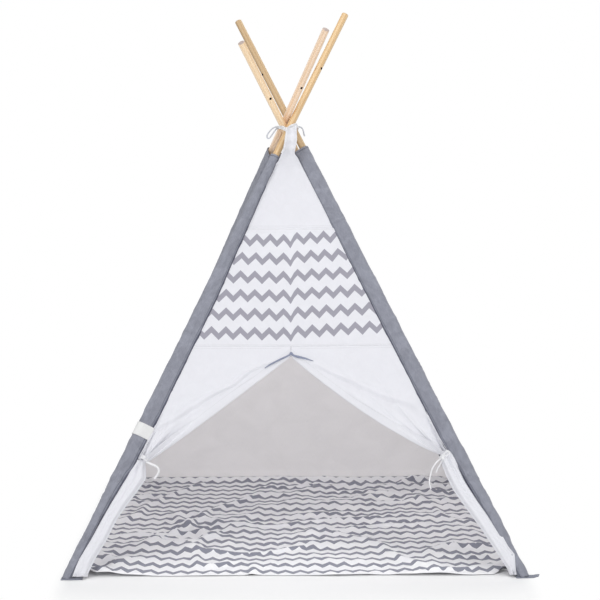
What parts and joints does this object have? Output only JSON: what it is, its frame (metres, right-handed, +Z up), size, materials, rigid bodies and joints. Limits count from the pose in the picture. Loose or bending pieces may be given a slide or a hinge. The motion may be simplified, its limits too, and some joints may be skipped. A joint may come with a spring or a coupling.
{
  "type": "teepee tent",
  "caption": "Child's teepee tent with jointed wooden poles in cloth sleeves, white cotton walls, a zigzag band, a tied-back door and a loose floor mat.",
  "frame": {"origin": "on the floor, midway between the four feet", "axes": "+Z up, -Y out of the door, +X to the right seen from the front"},
  "size_m": [1.29, 1.235, 1.5199],
  "materials": {
    "pine_wood": "matt varnished",
    "ferrule_metal": "satin",
    "sleeve_fabric": "matt woven",
    "white_fabric": "matt woven",
    "chevron_fabric": "matt woven with a grey zigzag print",
    "mat_fabric": "matt woven with a grey zigzag print",
    "tie_cord": "matt braided",
    "label_fabric": "matt woven",
    "binding_fabric": "matt woven"
  },
  "bodies": {
    "mat": {"floor_mat": "mat_fabric"},
    "crossing": {"apex_lashing": "tie_cord", "apex_bow": "tie_cord", "apex_tail": "tie_cord"},
    "front_left_pole": {"lower_pole_front_left": "pine_wood", "lower_ferrule_front_left": "ferrule_metal", "sleeve_front_left": "sleeve_fabric", "foot_strap_front_left": "sleeve_fabric", "mat_tie_front_left": "tie_cord", "blank_label": "label_fabric", "left_tieback": "tie_cord", "left_door_tape": "tie_cord"},
    "front_left_middle": {"middle_pole_front_left": "pine_wood", "upper_ferrule_front_left": "ferrule_metal"},
    "front_left_tip": {"tip_pole_front_left": "pine_wood"},
    "front_right_pole": {"lower_pole_front_right": "pine_wood", "lower_ferrule_front_right": "ferrule_metal", "sleeve_front_right": "sleeve_fabric", "foot_strap_front_right": "sleeve_fabric", "mat_tie_front_right": "tie_cord", "right_tieback": "tie_cord", "right_door_bow": "tie_cord", "right_door_tail_long": "tie_cord", "right_door_tail_short": "tie_cord"},
    "front_right_middle": {"middle_pole_front_right": "pine_wood", "upper_ferrule_front_right": "ferrule_metal"},
    "front_right_tip": {"tip_pole_front_right": "pine_wood"},
    "back_left_pole": {"lower_pole_back_left": "pine_wood", "lower_ferrule_back_left": "ferrule_metal", "sleeve_back_left": "sleeve_fabric", "foot_strap_back_left": "sleeve_fabric", "mat_tie_back_left": "tie_cord"},
    "back_left_middle": {"middle_pole_back_left": "pine_wood", "upper_ferrule_back_left": "ferrule_metal"},
    "back_left_tip": {"tip_pole_back_left": "pine_wood"},
    "back_right_pole": {"lower_pole_back_right": "pine_wood", "lower_ferrule_back_right": "ferrule_metal", "sleeve_back_right": "sleeve_fabric", "foot_strap_back_right": "sleeve_fabric", "mat_tie_back_right": "tie_cord"},
    "back_right_middle": {"middle_pole_back_right": "pine_wood", "upper_ferrule_back_right": "ferrule_metal"},
    "back_right_tip": {"tip_pole_back_right": "pine_wood"},
    "front": {"front_gusset": "white_fabric", "front_band": "chevron_fabric", "door_binding": "binding_fabric", "left_door_flap": "white_fabric", "left_lower_flap": "white_fabric", "right_door_flap": "white_fabric", "right_lower_flap": "white_fabric"},
    "back": {"back_wall": "white_fabric"},
    "left": {"left_wall": "white_fabric"},
    "right": {"right_wall": "white_fabric"}
  },
  "joints": [
    {"name": "lift", "type": "slide", "parent": "mat", "child": "crossing", "axis": [0, 0, 1], "range_m": [0, 0.55], "deforming": ["front_gusset", "front_band", "door_binding", "left_door_flap", "left_lower_flap", "right_door_flap", "right_lower_flap", "back_wall", "left_wall", "right_wall", "sleeve_front_left", "sleeve_front_right", "sleeve_back_left", "sleeve_back_right", "blank_label"]},
    {"name": "fold_front_left", "type": "hinge", "parent": "crossing", "child": "front_left_pole", "pos_m": [-0.0008, -0.1124, 1.203], "axis": [0.6312, -0.7756, 0], "range_deg": [0, 24.7]},
    {"name": "fold_front_right", "type": "hinge", "parent": "crossing", "child": "front_right_pole", "pos_m": [-0.0108, -0.0779, 1.203], "axis": [0.6498, 0.7601, 0], "range_deg": [0, 25.7]},
    {"name": "fold_back_left", "type": "hinge", "parent": "crossing", "child": "back_left_pole", "pos_m": [-0.023, -0.0944, 1.203], "axis": [-0.7866, -0.6174, 0], "range_deg": [0, 28.3]},
    {"name": "fold_back_right", "type": "hinge", "parent": "crossing", "child": "back_right_pole", "pos_m": [-0.036, -0.1184, 1.203], "axis": [-0.7581, 0.6521, 0], "range_deg": [0, 30.2]},
    {"name": "fold_front_wall", "type": "hinge", "parent": "crossing", "child": "front", "pos_m": [-0.018, -0.1, 1.203], "axis": [1, 0, 0], "range_deg": [0, 16.9]},
    {"name": "fold_back_wall", "type": "hinge", "parent": "crossing", "child": "back", "pos_m": [-0.018, -0.1, 1.203], "axis": [-1, 0, 0], "range_deg": [0, 24.5]},
    {"name": "fold_left_wall", "type": "hinge", "parent": "crossing", "child": "left", "pos_m": [-0.018, -0.1, 1.203], "axis": [0, -1, 0], "range_deg": [0, 20.1]},
    {"name": "fold_right_wall", "type": "hinge", "parent": "crossing", "child": "right", "pos_m": [-0.018, -0.1, 1.203], "axis": [0, 1, 0], "range_deg": [0, 21.5]},
    {"name": "pull_middle_front_left", "type": "slide", "parent": "front_left_pole", "child": "front_left_middle", "axis": [0.4191, 0.3411, 0.8414], "range_m": [0, 0.0455]},
    {"name": "pull_tip_front_left", "type": "slide", "parent": "front_left_middle", "child": "front_left_tip", "axis": [0.4191, 0.3411, 0.8414], "range_m": [0, 0.0455]},
    {"name": "pull_middle_front_right", "type": "slide", "parent": "front_right_pole", "child": "front_right_middle", "axis": [-0.4222, 0.3609, 0.8316], "range_m": [0, 0.0455]},
    {"name": "pull_tip_front_right", "type": "slide", "parent": "front_right_middle", "child": "front_right_tip", "axis": [-0.4222, 0.3609, 0.8316], "range_m": [0, 0.0455]},
    {"name": "pull_middle_back_left", "type": "slide", "parent": "back_left_pole", "child": "back_left_middle", "axis": [0.3653, -0.4654, 0.8062], "range_m": [0, 0.0455]},
    {"name": "pull_tip_back_left", "type": "slide", "parent": "back_left_middle", "child": "back_left_tip", "axis": [0.3653, -0.4654, 0.8062], "range_m": [0, 0.0455]},
    {"name": "pull_middle_back_right", "type": "slide", "parent": "back_right_pole", "child": "back_right_middle", "axis": [-0.4035, -0.4691, 0.7855], "range_m": [0, 0.0455]},
    {"name": "pull_tip_back_right", "type": "slide", "parent": "back_right_middle", "child": "back_right_tip", "axis": [-0.4035, -0.4691, 0.7855], "range_m": [0, 0.0455]}
  ],
  "couplings": [
    {"joint": "fold_front_left", "follows": "lift", "rad_per_m": 0.78381},
    {"joint": "fold_front_right", "follows": "lift", "rad_per_m": 0.81554},
    {"joint": "fold_back_left", "follows": "lift", "rad_per_m": 0.89805},
    {"joint": "fold_back_right", "follows": "lift", "rad_per_m": 0.95834},
    {"joint": "fold_front_wall", "follows": "lift", "rad_per_m": 0.53629},
    {"joint": "fold_back_wall", "follows": "lift", "rad_per_m": 0.77746},
    {"joint": "fold_left_wall", "follows": "lift", "rad_per_m": 0.63784},
    {"joint": "fold_right_wall", "follows": "lift", "rad_per_m": 0.68226}
  ]
}
